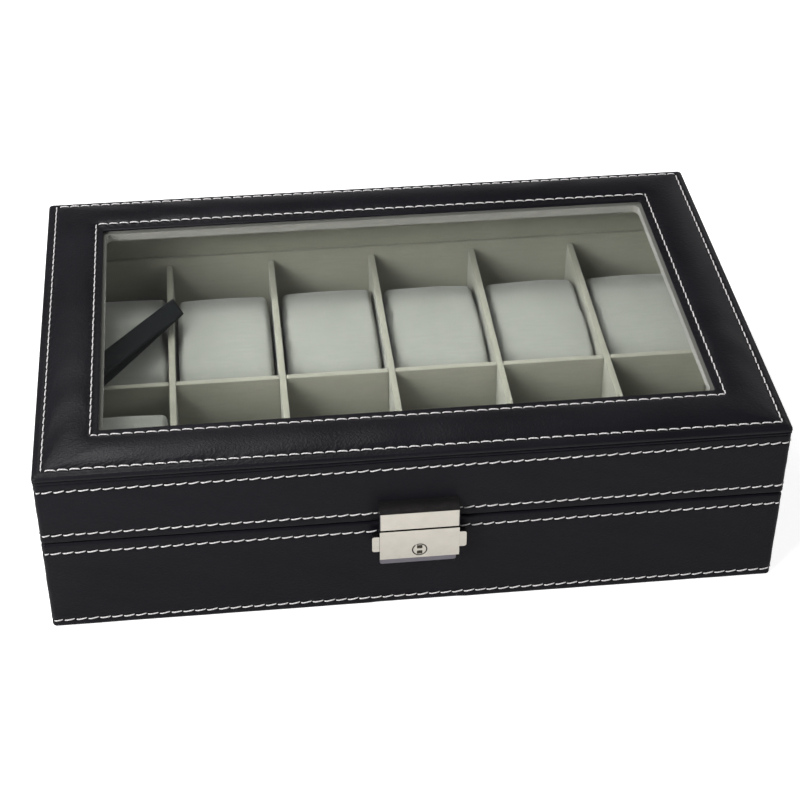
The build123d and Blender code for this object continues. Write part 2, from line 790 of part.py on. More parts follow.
# Lock
save("lock_case", lock_case())
save("lock_back_plate", lock_back_plate())
save("lock_tacks", both_sides(tack(lock_tack_spacing / 2, lock_tack_height)))
right_tab = push_tab()
save("right_push_tab", right_tab)
save("left_push_tab", mirror(right_tab, about=Plane.YZ))
save("tab_spring", tab_spring())
save("key_plug", key_plug())
save("key_cam", key_cam())
save("strike_case", strike_case())
save("strike_back_plate", strike_back_plate())
save("catch_prongs", catch_prongs())
save("strike_tacks", both_sides(tack(strike_tack_spacing / 2, strike_tack_z)))

# Ribbon
save("ribbon_stay", ribbon_stay())
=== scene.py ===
import bpy
import numpy as np
from math import cos, pi, radians, sin
from mathutils import Matrix, Vector


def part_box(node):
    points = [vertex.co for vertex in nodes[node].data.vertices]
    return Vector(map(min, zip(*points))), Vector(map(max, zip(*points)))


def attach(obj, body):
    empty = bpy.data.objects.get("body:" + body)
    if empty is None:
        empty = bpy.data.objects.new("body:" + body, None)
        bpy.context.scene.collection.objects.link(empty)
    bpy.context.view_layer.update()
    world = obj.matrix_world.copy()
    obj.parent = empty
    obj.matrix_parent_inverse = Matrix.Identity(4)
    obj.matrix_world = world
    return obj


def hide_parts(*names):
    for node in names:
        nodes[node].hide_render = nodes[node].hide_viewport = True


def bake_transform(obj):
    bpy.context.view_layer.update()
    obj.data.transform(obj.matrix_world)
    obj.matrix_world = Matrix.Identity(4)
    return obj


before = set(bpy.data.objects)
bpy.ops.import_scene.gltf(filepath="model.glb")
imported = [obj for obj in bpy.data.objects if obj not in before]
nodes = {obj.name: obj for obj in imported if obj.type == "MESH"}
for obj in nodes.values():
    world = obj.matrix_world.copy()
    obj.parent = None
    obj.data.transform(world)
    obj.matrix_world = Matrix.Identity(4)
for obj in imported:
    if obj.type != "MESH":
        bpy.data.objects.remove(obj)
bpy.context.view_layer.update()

MM = 0.001

# Places shared with the CAD frame, in millimetres
HALF_X = 150.0
HALF_Y = 100.0
OVERHANG = 0.4
WRAP_X = HALF_X - OVERHANG
WRAP_Y = HALF_Y - OVERHANG
WINDOW_X = 124.5
WINDOW_Y = 73.3
WRAP_CORNER = 1.5
KEY_Z = 34.0
LOCK_CLEAR = 16.3
HINGE_X = 90.0
HINGE_CLEAR = 17.2

# Stitch rows on the sides, as heights
LID_UPPER_Z = 72.0
LID_LOWER_Z = 49.8
BASE_UPPER_Z = 40.3
BASE_LOWER_Z = 4.0

# Side leathers: thickness, radius of their bent edges, swell between the seams, pull of a stitch's
# hole, and the flat beyond the lock and the hinge leaves with the width over which it fades
SKIN = 0.9
BEND = 1.25
SWELL = 0.25
SIDE_PULL = 0.26
PLATE_MARGIN = 4.0
PLATE_FADE = 3.5

# Width of the line along a seam that is rougher and painted darker as shade
SEAM_WIDTH = 0.9

# Padded top: insets and heights of its two seams, its crown between them, and the glass under its lip
OUTER_SEAM = 3.8
INNER_SEAM = 22.4
SEAM_OUT_Z = 79.8
SEAM_IN_Z = 81.0
CROWN = 1.35
PANEL_Z = 77.0
GLASS_TOP_Z = 79.5
LIP_Z = 80.3

# Stitch pitches along the long and short sides, and the middle of one stitch on the front's left
# and right halves, the right side, the back and the left side
ROWS = {
    "top_outer": (4.71, 4.6, -1.32, -1.32, 0.72, 1.3, 0.05),
    "top_inner": (4.7, 4.7, -0.11, -0.11, -1.74, 2.29, -1.08),
    "lid_upper": (4.725, 4.7, 1.8, 1.8, 0.6, 0.0, -0.9),
    "lid_lower": (4.715, 4.7, 2.98, 1.71, 1.7, 0.4, 0.3),
    "base_upper": (4.83, 4.75, 0.41, -0.21, -0.4, 1.2, 1.1),
    "base_lower": (4.83, 4.75, 2.27, 2.27, 1.0, 0.7, 1.9),
}


# Materials

class Look:
    """A material whose Principled shader is fed by procedural nodes."""

    def __init__(self, name, colour, roughness, metallic=0.0):
        self.material = bpy.data.materials.new(name)
        self.material.use_nodes = True
        self.tree = self.material.node_tree
        self.shader = self.tree.nodes["Principled BSDF"]
        self.shader.inputs["Base Color"].default_value = (*colour, 1.0)
        self.shader.inputs["Roughness"].default_value = roughness
        self.shader.inputs["Metallic"].default_value = metallic

    def feed(self, socket, value):
        """Link an output, or set a plain value."""
        if isinstance(value, bpy.types.NodeSocket):
            self.tree.links.new(value, socket)
        else:
            socket.default_value = value

    def give(self, node, values):
        """Feed a node's inputs by name, with underscores for spaces."""
        for name, value in values.items():
            self.feed(node.inputs[name.replace("_", " ")], value)
        return node

    def node(self, kind, **values):
        """A new shader node."""
        return self.give(self.tree.nodes.new("ShaderNode" + kind), values)

    def place(self, scale=(1.0, 1.0, 1.0)):
        """Object coordinates in metres, stretched by a mapping."""
        source = self.node("TexCoord").outputs["Object"]
        return self.node("Mapping", Vector=source, Scale=scale).outputs["Vector"]

    def noise(self, vector, scale, detail, rough):
        """Fractal noise from 0 to 1."""
        node = self.node("TexNoise", Vector=vector, Scale=scale, Detail=detail, Roughness=rough)
        return node.outputs["Fac"]

    def cells(self, vector, scale, feature="F1"):
        """Distance in a cell pattern."""
        node = self.node("TexVoronoi", Vector=vector, Scale=scale)
        node.feature = feature
        return node.outputs["Distance"]

    def maths(self, operation, a, b=0.0):
        """One arithmetic step."""
        node = self.node("Math")
        node.operation = operation
        self.feed(node.inputs[0], a)
        self.feed(node.inputs[1], b)
        return node.outputs[0]

    def spread(self, value, low, high, start=0.0, end=1.0):
        """Map the range start to end onto low to high, held at both ends."""
        node = self.node("MapRange", Value=value, From_Min=start, From_Max=end, To_Min=low, To_Max=high)
        return node.outputs["Result"]

    def blend(self, factor, a, b):
        """Mix two colours."""
        node = self.node("Mix")
        node.data_type = "RGBA"
        self.feed(node.inputs[0], factor)
        for socket, value in ((node.inputs[6], a), (node.inputs[7], b)):
            self.feed(socket, (*value, 1.0) if isinstance(value, tuple) else value)
        return node.outputs[2]

    def ramp(self, value, start, end, a, b, most=1.0):
        """Colour a up to start, and from there mixed with b until b's share is most at end."""
        return self.blend(self.spread(value, 0.0, most, start, end), a, b)

    def split(self, vector):
        """The three parts of a vector."""
        return self.node("SeparateXYZ", Vector=vector).outputs

    def relief(self, height, distance, strength, under=None):
        """Bump from a height, over another bump if there is one."""
        node = self.node("Bump", Strength=strength, Distance=distance, Height=height)
        if under is not None:
            self.tree.links.new(under, node.inputs["Normal"])
        return node.outputs["Normal"]

    def mark(self, name, output="Fac"):
        """An attribute of the mesh."""
        node = self.node("Attribute")
        node.attribute_name = name
        return node.outputs[output]

    def set(self, **values):
        """Inputs of the Principled shader."""
        self.give(self.shader, values)

    def wear(self, tone, rough, bump, **others):
        """The material with its tone, roughness and relief, and other inputs."""
        self.set(Base_Color=tone, Roughness=rough, Normal=bump, **others)
        return self.material


def dim(colour, share):
    """A colour times a share."""
    return tuple(share * c for c in colour)


def leather_look(name, shine):
    """Black pebbled leather: fine cells under a broad unevenness, rougher in the seams and painted darker
    there as shade of their creases.
    """
    look = Look(name, (0.006, 0.006, 0.007), 0.45)
    at = look.place()
    pebbles = look.maths("MULTIPLY", look.cells(at, 1250.0, "SMOOTH_F1"), 0.7)
    wrinkles = look.maths("MULTIPLY", look.noise(at, 420.0, 5.0, 0.6), 0.6)
    broad = look.noise(at, 22.0, 3.0, 0.5)
    seam = look.mark("seam")
    bump = look.relief(look.maths("ADD", pebbles, wrinkles), 0.00021, 0.6)
    tone = look.ramp(broad, 0.3, 0.7, (0.0038, 0.0034, 0.0056), (0.0060, 0.0054, 0.0084))
    # Painted shade: the tone is darkened along the seams' creases; the added roughness there is the
    # leather's own.
    tone = look.blend(look.maths("MULTIPLY", seam, 0.6), tone, (0.003, 0.003, 0.0035))
    rough = look.spread(broad, 0.40, 0.50, 0.3, 0.7)
    rough = look.maths("ADD", rough, look.maths("MULTIPLY", seam, 0.15))
    return look.wear(tone, rough, bump, Specular_IOR_Level=shine)


def thread_look():
    """White polyester thread, two plies twisted together, with painted shade in the grooves between them.
    """
    rough = 0.55
    look = Look("white_thread", (0.78, 0.78, 0.80), rough)
    along, beside, above = look.split(look.mark("thread", "Vector"))
    turn = look.maths("MULTIPLY", along, 5.2)
    first = look.maths("MULTIPLY", look.maths("SINE", turn), beside)
    second = look.maths("MULTIPLY", look.maths("COSINE", turn), above)
    twist = look.maths("ADD", first, second)
    fibres = look.noise(look.place(), 5200.0, 2.0, 0.6)
    shade = look.spread(twist, 0.0, 1.0, -1.0, 1.0)
    # Painted shade: the tone darkens along the helical grooves between the plies.
    tone = look.blend(shade, (0.60, 0.58, 0.585), (0.80, 0.775, 0.775))
    bump = look.relief(shade, 0.00008, 0.6)
    bump = look.relief(fibres, 0.00003, 0.5, bump)
    return look.wear(tone, rough, bump, Sheen_Weight=0.15)


def velvet_look(name, colour, darker):
    """Short-piled fabric: brushed patches, fine fibre grain and faint streaks of the weave along X."""
    look = Look(name, colour, 0.95)
    brushed = look.noise(look.place((1.0, 0.35, 1.0)), 60.0, 3.0, 0.6)
    pile = look.noise(look.place(), 2600.0, 3.0, 0.7)
    weave = look.noise(look.place((0.1, 1.0, 1.0)), 1000.0, 2.0, 0.6)
    tone = look.ramp(brushed, 0.3, 0.7, darker, colour)
    tone = look.ramp(pile, 0.3, 0.75, tone, dim(colour, 0.72), 0.35)
    tone = look.ramp(weave, 0.35, 0.65, tone, dim(colour, 0.8), 0.4)
    bump = look.relief(pile, 0.00012, 0.6, look.relief(weave, 0.0001, 0.5))
    rough = look.spread(brushed, 0.88, 1.0, 0.3, 0.7)
    look.set(Sheen_Weight=0.25, Sheen_Roughness=0.4, Specular_IOR_Level=0.15)
    return look.wear(tone, rough, bump)


def board_look(name, colour, fleck):
    """Fibre board with flecks and pressed fibres."""
    look = Look(name, colour, 0.85)
    fibres = look.noise(look.place((1.0, 1.0, 6.0)), 700.0, 4.0, 0.6)
    flecks = look.cells(look.place(), 900.0)
    tone = look.ramp(fibres, 0.35, 0.65, colour, fleck)
    tone = look.blend(look.spread(flecks, 0.3, 0.0, 0.0, 0.3), tone, dim(colour, 0.6))
    rough = look.spread(fibres, 0.8, 0.95, 0.3, 0.7)
    return look.wear(tone, rough, look.relief(fibres, 0.0001, 0.5))


def metal_look(name, colour, roughness, dark_sides=0.0):
    """Satin-plated metal with hairline brushing along X and small dull patches.

    With dark_sides, the greatest share of a darker tone, painted reflection of the dark room, on faces
    turned sideways or up. A thin dark ring of painted shade also follows the gap between the key plug
    and its case."""
    look = Look(name, colour, roughness, 1.0)
    lines = look.noise(look.place((0.02, 1.0, 1.0)), 9000.0, 2.0, 0.6)
    dull = look.noise(look.place(), 180.0, 3.0, 0.6)
    tone = look.ramp(dull, 0.35, 0.7, colour, dim(colour, 0.93))
    if dark_sides:
        # Painted reflection: faces turned sideways or up are darkened towards a purple-black, standing for
        # the dark room they mirror.
        facing = look.split(look.node("TexCoord").outputs["Normal"])
        side = look.spread(look.maths("ABSOLUTE", facing[0]), 0.0, dark_sides, 0.25, 0.6)
        top = look.spread(facing[2], 0.0, dark_sides * 0.7, 0.5, 0.9)
        tone = look.blend(look.maths("MAXIMUM", side, top), tone, (0.105, 0.1, 0.125))
        # Painted shade: a thin near-black ring round the key plug marks the shade in its gap to the case.
        x, _, z = look.split(look.place())
        up = look.maths("SUBTRACT", z, KEY_Z * MM)
        away = look.maths("ADD", look.maths("MULTIPLY", x, x), look.maths("MULTIPLY", up, up))
        shade_ring_radius = 2.85 * MM
        off = look.maths("SUBTRACT", look.maths("SQRT", away), shade_ring_radius)
        off = look.maths("ABSOLUTE", off)
        tone = look.blend(look.spread(off, 0.85, 0.0, 0.12 * MM, 0.4 * MM), tone, (0.03, 0.028, 0.026))
    rough = look.spread(dull, -0.03, 0.04, 0.3, 0.7)
    rough = look.maths("ADD", rough, look.spread(lines, roughness, roughness + 0.06))
    return look.wear(tone, rough, look.relief(lines, 0.000006, 0.4))


def ribbon_look():
    """Navy-black grosgrain: fine ribs across the ribbon."""
    look = Look("black_ribbon", (0.005, 0.006, 0.007), 0.75)
    along = look.split(look.mark("weave", "Vector"))[0]
    ribs = look.spread(look.maths("SINE", look.maths("MULTIPLY", along, 9.0)), 0.0, 0.7, -1.0, 1.0)
    yarn = look.noise(look.place(), 3800.0, 2.0, 0.6)
    height = look.maths("ADD", ribs, look.maths("MULTIPLY", yarn, 0.5))
    tone = look.ramp(height, 0.1, 1.1, (0.0015, 0.0022, 0.0028), (0.0045, 0.0064, 0.0076))
    rough = look.spread(yarn, 0.7, 0.85, 0.3, 0.7)
    return look.wear(tone, rough, look.relief(height, 0.0001, 0.6), Specular_IOR_Level=0.1)


def glass_look():
    """Clear flat glass that lets the lamps through to the inside."""
    look = Look("glass", (0.985, 0.995, 0.99), 0.0)
    look.set(Transmission_Weight=1.0, IOR=1.5)
    clear = look.node("BsdfTransparent", Color=(0.93, 0.945, 0.94, 1.0))
    mix = look.node("MixShader")
    shadow = look.node("LightPath").outputs["Is Shadow Ray"]
    for socket, output in zip(mix.inputs, (shadow, look.shader.outputs[0], clear.outputs[0])):
        look.feed(socket, output)
    look.feed(look.tree.nodes["Material Output"].inputs["Surface"], mix.outputs[0])
    return look.material


def felt_look():
    """Dense black felt under the base."""
    look = Look("underside_felt", (0.02, 0.02, 0.021), 0.95)
    tufts = look.noise(look.place(), 1500.0, 4.0, 0.7)
    tone = look.ramp(tufts, 0.3, 0.7, (0.014, 0.014, 0.015), (0.03, 0.03, 0.032))
    rough = look.spread(tufts, 0.88, 1.0)
    return look.wear(tone, rough, look.relief(tufts, 0.0001, 0.6))


def foam_look():
    """Open-celled foam."""
    look = Look("foam", (0.55, 0.53, 0.46), 0.9)
    pores = look.cells(look.place(), 1600.0)
    tone = look.ramp(pores, 0.1, 0.6, (0.35, 0.33, 0.28), (0.6, 0.58, 0.5))
    rough = look.spread(pores, 0.85, 0.95)
    return look.wear(tone, rough, look.relief(pores, 0.0003, 0.6))


LEATHER = leather_look("black_leather", 0.125)
PADDED = leather_look("padded_leather", 0.18)
THREAD = thread_look()
VELVET = velvet_look("pale_velvet", (0.285, 0.29, 0.262), (0.253, 0.258, 0.231))
LINING = velvet_look("grey_lining", (0.298, 0.293, 0.239), (0.267, 0.262, 0.213))
# Painted shade: the cloth round the window opening is a darker copy of the lining, for the shade under the
# leather's lip.
LEDGE_IN_PAINTED_SHADE = velvet_look("opening_cloth", (0.25, 0.242, 0.222), (0.225, 0.218, 0.2))
BOARD = board_look("board", (0.30, 0.27, 0.22), (0.38, 0.34, 0.28))
CARD = board_look("card", (0.42, 0.38, 0.30), (0.5, 0.46, 0.38))
FOAM = foam_look()
GLASS = glass_look()
# dark_sides paints a darker reflection on the lock's sideways and upward faces, and painted shade in the
# key plug's gap.
NICKEL = metal_look("satin_nickel", (0.62, 0.585, 0.52), 0.2, dark_sides=0.9)
# Painted shade: the lock's back plate gets a much darker nickel than the case, for the shade under the lock
# case.
SHADED_NICKEL = metal_look("nickel_in_painted_shade", (0.20, 0.19, 0.215), 0.34)
STEEL = metal_look("steel", (0.50, 0.49, 0.47), 0.32)
RIBBON = ribbon_look()
FELT = felt_look()


# Meshes from grids

def add_mesh(name, points, faces, look, attributes=()):
    """A smooth mesh object from points in millimetres and groups of faces with equally many corners."""
    mesh = bpy.data.meshes.new(name)
    points = np.asarray(points, float).reshape(-1, 3) * MM
    corners = np.concatenate([np.asarray(group, np.int32).ravel() for group in faces])
    sizes = np.concatenate([np.full(len(group), np.shape(group)[1], np.int32) for group in faces])
    mesh.vertices.add(len(points))
    mesh.vertices.foreach_set("co", points.astype(np.float32).ravel())
    mesh.loops.add(len(corners))
    mesh.loops.foreach_set("vertex_index", corners)
    mesh.polygons.add(len(sizes))
    starts = np.concatenate([[0], np.cumsum(sizes)[:-1]]).astype(np.int32)
    mesh.polygons.foreach_set("loop_start", starts)
    mesh.polygons.foreach_set("use_smooth", np.full(len(sizes), True))
    mesh.update(calc_edges=True)
    mesh.validate()
    for label, kind, values in attributes:
        attribute = mesh.attributes.new(label, kind, "POINT")
        field = "vector" if kind == "FLOAT_VECTOR" else "value"
        attribute.data.foreach_set(field, np.asarray(values, np.float32).ravel())
    mesh.materials.append(look)
    piece = bpy.data.objects.new(name, mesh)
    bpy.context.scene.collection.objects.link(piece)
    return piece


def grid_faces(rows, columns, wrap_rows=False, wrap_columns=False):
    """Four-cornered faces of a grid of points, closed round in either direction."""
    r = np.arange(rows if wrap_rows else rows - 1)[:, None]
    c = np.arange(columns if wrap_columns else columns - 1)[None, :]
    r1 = (r + 1) % rows
    c1 = (c + 1) % columns
    corners = (r * columns + c, r * columns + c1, r1 * columns + c1, r1 * columns + c)
    return np.stack([np.broadcast_to(k, (r.shape[0], c.shape[1])) for k in corners], -1).reshape(-1, 4)


def tube_faces(rows, columns):
    """Faces of a tube of rings, and fans that close its first and last ring on one more point each."""
    k = np.arange(columns)
    k1 = (k + 1) % columns
    last = (rows - 1) * columns
    pole = np.full(columns, rows * columns)
    first_fan = np.stack([k1, k, pole], -1)
    last_fan = np.stack([last + k, last + k1, pole + 1], -1)
    return grid_faces(rows, columns, wrap_columns=True), np.concatenate([first_fan, last_fan])


def rim_columns(half_x, half_y):
    """Columns round a rectangle, a step apart, with a few round each corner.

    Each column has a side from 0 (front, right, back, left), a place from -1 to 1 along it and a
    turn from 0 to 1 round the corner that follows it."""
    step, turns = 0.79, 6
    sides, places, turned = [], [], []
    for side in range(4):
        count = round(2 * (half_x if side % 2 == 0 else half_y) / step)
        sides.append(np.full(count + turns, side))
        places.append(np.concatenate([np.linspace(-1, 1, count + 1), np.ones(turns - 1)]))
        turned.append(np.concatenate([np.zeros(count), np.linspace(0, 1, turns + 1)[:-1]]))
    return np.concatenate(sides), np.concatenate(places), np.concatenate(turned)


def stitch_phase(row, side, s):
    """Pitch and nearest stitch's middle, modulo the pitch, for places s along a side."""
    long_pitch, short_pitch, left, right, *others = ROWS[row]
    pitch = np.where(side % 2 == 0, long_pitch, short_pitch)
    front = np.where(s < 0, left, right)
    return pitch, np.select([side == 0, side == 1, side == 2], [front, others[0], others[1]], others[2])


def pull_of_holes(row, side, s):
    """How deep the thread draws the leather in: most at the holes between two stitches."""
    pitch, middle = stitch_phase(row, side, s)
    return 0.6 - 0.4 * np.cos(2 * pi * (s - middle) / pitch)


def round_the_case(columns, half_x, half_y, inset_x, inset_y, corner, out):
    """Plan points of rows that run round the case.

    A row is a rectangle of half sizes less its insets, with corners of a radius, pushed outwards by
    out. The point on a side is its place times the side's straight half length; at a corner it is
    the corner's centre plus the radius turned from one side's outward direction to the next's."""
    side, place, turned = columns
    heading = (side - 1) * pi / 2
    angle = heading + turned * pi / 2
    normal = np.stack([np.cos(angle), np.sin(angle)], -1)
    outward = np.stack([np.cos(heading), np.sin(heading)], -1)
    forward = np.stack([-outward[:, 1], outward[:, 0]], -1)
    front_or_back = side % 2 == 0
    hx = (half_x - inset_x)[:, None]
    hy = (half_y - inset_y)[:, None]
    rho = corner[:, None]
    reach = np.where(front_or_back, hx, hy) - rho
    stand = np.where(front_or_back, hy, hx) - rho
    centre = (place * reach)[..., None] * forward + stand[..., None] * outward
    return centre + (rho + out)[..., None] * normal


def level(inset, z, corner):
    """A section row with the same inset on all sides."""
    return inset, inset, z, corner


def ring(name, section, half_x, half_y, look, relief=None):
    """A closed section run round the case.

    A section row is its inset in x, its inset in y, its height and the radius of its corners."""
    section = np.asarray(section, float)
    columns = rim_columns(half_x, half_y)
    out, lift, seam = relief(section, columns) if relief else (0.0, 0.0, 0.0)
    shape = (len(section), len(columns[0]))
    plan = round_the_case(columns, half_x, half_y, section[:, 0], section[:, 1], section[:, 3], out)
    height = section[:, 2][:, None] + np.broadcast_to(lift, shape)
    points = np.concatenate([plan, height[..., None]], -1)
    faces = grid_faces(*shape, wrap_rows=True, wrap_columns=True)
    seams = ("seam", "FLOAT", np.broadcast_to(seam, shape))
    return add_mesh(name, points, [faces], look, [seams])


def waves(seed, terms, shortest, longest):
    """A gentle unevenness of one variable, as a sum of sines, about 1 high."""
    draw = np.random.default_rng(seed)
    lengths = draw.uniform(shortest, longest, terms)
    phases = draw.uniform(0, 2 * pi, terms)

    def height(t):
        total = sum(np.sin(2 * pi * t / length + phase) for length, phase in zip(lengths, phases))
        return total / terms ** 0.5

    return height


def bell(x, width):
    """A bell curve 1 high."""
    return np.exp(-((x / width) ** 2))


def along_side(columns, half_x, half_y):
    """Millimetres along the side of each column."""
    side, place, _ = columns
    return place * np.where(side % 2 == 0, half_x, half_y)


def plate_shadow(columns, half_x, half_y):
    """1 where a side carries the lock or a hinge leaf, fading to 0 beyond."""
    side = columns[0]
    s = along_side(columns, half_x, half_y)
    lock = LOCK_CLEAR + PLATE_MARGIN - abs(s)
    hinge = HINGE_CLEAR + PLATE_MARGIN - abs(abs(s) - HINGE_X)
    inside = np.select([side == 0, side == 2], [lock, hinge], 0.0)
    return np.clip(inside / PLATE_FADE, 0, 1)


def side_relief(rows, half_x, half_y, seed):
    """Relief of a side: full between its seams, drawn in at the stitches' holes and slightly wavy.

    Only the outer face and its bends carry it, and it is flat behind the lock and the hinges."""
    wave, wave_height = waves(seed, 7, 18.0, 90.0), 0.05

    def relief(section, columns):
        s = along_side(columns, half_x, half_y)
        z = section[:, 2][:, None]
        outer = (section[:, 0] < 1.0)[:, None]
        free = 1 - plate_shadow(columns, half_x, half_y)
        pulled = sum(-SIDE_PULL * bell(z - rows[row], 1.0) * pull_of_holes(row, columns[0], s)
                     for row in rows)
        seam = sum(bell(z - rows[row], SEAM_WIDTH) for row in rows) * np.ones_like(s)
        swell = SWELL + wave_height * wave(s + 3.1 * z)
        return outer * free * (pulled + swell), 0.0, seam * outer
    return relief


def with_rows(start, end, seams):
    """Heights from start to end, close together near each seam."""
    step, beside_seam = 2.4, (-2.2, -1.5, -1.0, -0.6, -0.3, 0.0, 0.3, 0.6, 1.0, 1.5, 2.2)
    heights = set(np.round(np.arange(start, end, step), 3)) | {start, end}
    for seam in seams:
        heights |= {round(seam + d, 3) for d in beside_seam}
    return [h for h in sorted(heights) if start <= h <= end]


def bent_up(bottom):
    """Section rows of a side leather's lower edge, up a quarter circle from its underside."""
    rows = []
    for turn in (0, 22.5, 45, 67.5):
        inset = BEND * (1 - sin(radians(turn)))
        rows.append(level(inset, bottom + BEND * (1 - cos(radians(turn))), WRAP_CORNER - inset))
    return rows


def lid_leather():
    """Leather round the lid: turned in below, flat up the side, with a welt under the padded top."""
    bottom, welt_foot, inner_bottom = 45.45, 75.0, 46.35
    seams = {"lid_lower": LID_LOWER_Z, "lid_upper": LID_UPPER_Z}
    section = [level(3.5, bottom, 0.3), level(2.2, bottom, 0.4), level(1.2, bottom, 0.6)]
    section += bent_up(bottom)
    section += [level(0, z, WRAP_CORNER) for z in with_rows(bottom + BEND, welt_foot, seams.values())]
    welt = [(0.05, 75.25), (0.3, 75.45), (0.42, 75.6), (0.28, 75.78), (-0.02, 75.95), (-0.14, 76.25),
            (-0.1, 76.55), (0.1, 76.78), (0.4, 76.92), (0.7, PANEL_Z)]
    section += [level(inset, z, WRAP_CORNER - inset) for inset, z in welt]
    section += [level(SKIN, z, 0.6) for z in (76.9, 70.0, 60.0, 50.0, 46.5)]
    section += [level(1.6, inner_bottom, 0.5), level(3.5, inner_bottom, 0.3)]
    piece = ring("lid_leather", section[::-1], WRAP_X, WRAP_Y, LEATHER,
                 side_relief(seams, WRAP_X, WRAP_Y, 3))
    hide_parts("lid_side_wrap")
    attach(piece, "lid")


def base_leather():
    """Leather round the base: turned in below, up the side and over the rim."""
    bottom, top, inner_bottom = 0.3, 45.15, 1.2
    seams = {"base_lower": BASE_LOWER_Z, "base_upper": BASE_UPPER_Z}
    section = [level(9.0, bottom, 0.3), level(5.0, bottom, 0.3), level(2.0, bottom, 0.4)]
    section += bent_up(bottom)
    section += [level(0, z, WRAP_CORNER) for z in with_rows(bottom + BEND, top - BEND, seams.values())]
    for turn in (22.5, 45, 67.5, 90):
        inset = BEND * (1 - cos(radians(turn)))
        section.append(level(inset, top - BEND + BEND * sin(radians(turn)), WRAP_CORNER - inset))
    section += [level(2.5, top, 0.4), level(4.4, top, 0.3)]
    section += [level(4.4, top - SKIN, 0.3), level(SKIN, top - SKIN, 0.6)]
    section += [level(SKIN, z, 0.6) for z in (40.0, 30.0, 20.0, 10.0, inner_bottom)]
    section += [level(5.0, inner_bottom, 0.3), level(9.0, inner_bottom, 0.3)]
    piece = ring("base_leather", section[::-1], WRAP_X, WRAP_Y, LEATHER,
                 side_relief(seams, WRAP_X, WRAP_Y, 5))
    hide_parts("base_side_wrap")
    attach(piece, "base")


def crown_height(inset):
    """Height of the padding: the line between its two seams, plus half a sine wave to the power 0.8."""
    t = (inset - OUTER_SEAM) / (INNER_SEAM - OUTER_SEAM)
    line = SEAM_OUT_Z + (SEAM_IN_Z - SEAM_OUT_Z) * t
    return line + CROWN * np.sin(pi * np.clip(t, 0, 1)) ** 0.8


def top_relief(section, columns):
    """Pull of the two seams' holes, and soft unevenness of the padding between them."""
    outer_pull, inner_pull, pull_width = 0.34, 0.4, 1.1
    uneven_height, per_side, fade = 0.16, 40.0, 3
    s = along_side(columns, HALF_X, HALF_Y)
    inset = section[:, 0][:, None]
    up = (section[:, 2] > PANEL_Z + 1.9)[:, None]
    outer = bell(inset - OUTER_SEAM, pull_width) * pull_of_holes("top_outer", columns[0], s)
    inner = bell(inset - INNER_SEAM, pull_width) * pull_of_holes("top_inner", columns[0], s)
    between = np.clip((inset - OUTER_SEAM) / fade, 0, 1) * np.clip((INNER_SEAM - inset) / fade, 0, 1)
    uneven = waves(11, 9, 25.0, 160.0)(s + per_side * columns[0]) * uneven_height
    lift = between * uneven - outer_pull * outer - inner_pull * inner
    seam = np.maximum(bell(inset - OUTER_SEAM, SEAM_WIDTH), bell(inset - INNER_SEAM, SEAM_WIDTH))
    return 0.0, lift * up, seam * np.ones_like(s) * up


def top_cover():
    """Padded leather of the lid's top, from its rolled outer edge over two seams to the window's lip."""
    side_lip = HALF_X - WINDOW_X
    front_lip = HALF_Y - WINDOW_Y
    roll, roll_z = 1.2, 78.0
    shelf_z, shelf_rise, shelf_width = 79.2, 0.62, 2.6
    section = [level(0.9, 77.02, 0.8), level(0.35, 77.05, 1.2), level(0.05, 77.3, 1.5)]
    section.append(level(0.0, 77.8, 1.5))
    for turn in (0, 20, 40, 60, 80, 90):
        inset = roll * (1 - cos(radians(turn)))
        section.append(level(inset, roll_z + roll * sin(radians(turn)), 1.6 - 0.3 * inset))
    for inset in (1.9, 2.6, 3.1, 3.5):
        rise = shelf_rise * sin((inset - roll) / shelf_width * pi / 2 + 0.25)
        section.append(level(inset, shelf_z + rise, 1.2))
    for inset in (3.8, 4.1, 4.5, 5.0, 5.7, 6.6, 7.8, 9.2, 10.8, 12.4, 14.0, 15.6, 17.0, 18.3, 19.4, 20.3,
                  21.0, 21.6, 22.1, 22.4):
        soft = 1.2 + 10.0 * sin(pi * (inset - OUTER_SEAM) / (INNER_SEAM - OUTER_SEAM))
        section.append(level(inset, float(crown_height(inset)), soft))
    for share, over in ((0.12, 0.55), (0.28, 0.32), (0.45, 0.16), (0.65, 0.07), (0.85, 0.02),
                        (0.95, -0.08), (1.0, -0.3), (1.0, -0.7)):
        dx = INNER_SEAM + share * (side_lip - INNER_SEAM)
        dy = INNER_SEAM + share * (front_lip - INNER_SEAM)
        section.append((dx, dy, LIP_Z + over, 1.2))
    under = GLASS_TOP_Z + 0.02
    section += [(side_lip, front_lip, under, 1.2), level(23.7, under, 1.0), level(INNER_SEAM, 80.1, 1.0)]
    section += [level(x, float(crown_height(x)) - 1.0, 1.0) for x in (20.0, 16.0, 12.0, 8.0, 5.0)]
    section += [level(OUTER_SEAM, 78.9, 1.0), level(0.9, 78.3, 0.8)]
    piece = ring("top_cover", section[::-1], HALF_X, HALF_Y, PADDED, top_relief)
    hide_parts("lid_cover")
    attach(piece, "lid")


def foam_filling():
    """Foam under the padded leather, between the card and the crown."""
    bottom, under_crown = 78.4, 1.25
    insets = np.linspace(OUTER_SEAM + 0.2, INNER_SEAM - 0.2, 14)
    section = [level(x, float(crown_height(x)) - under_crown, 1.0) for x in insets]
    section += [level(x, bottom, 1.0) for x in insets[::-1]]
    piece = ring("foam_filling", section[::-1], HALF_X, HALF_Y, FOAM)
    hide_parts("lid_padding")
    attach(piece, "lid")


# Stitches

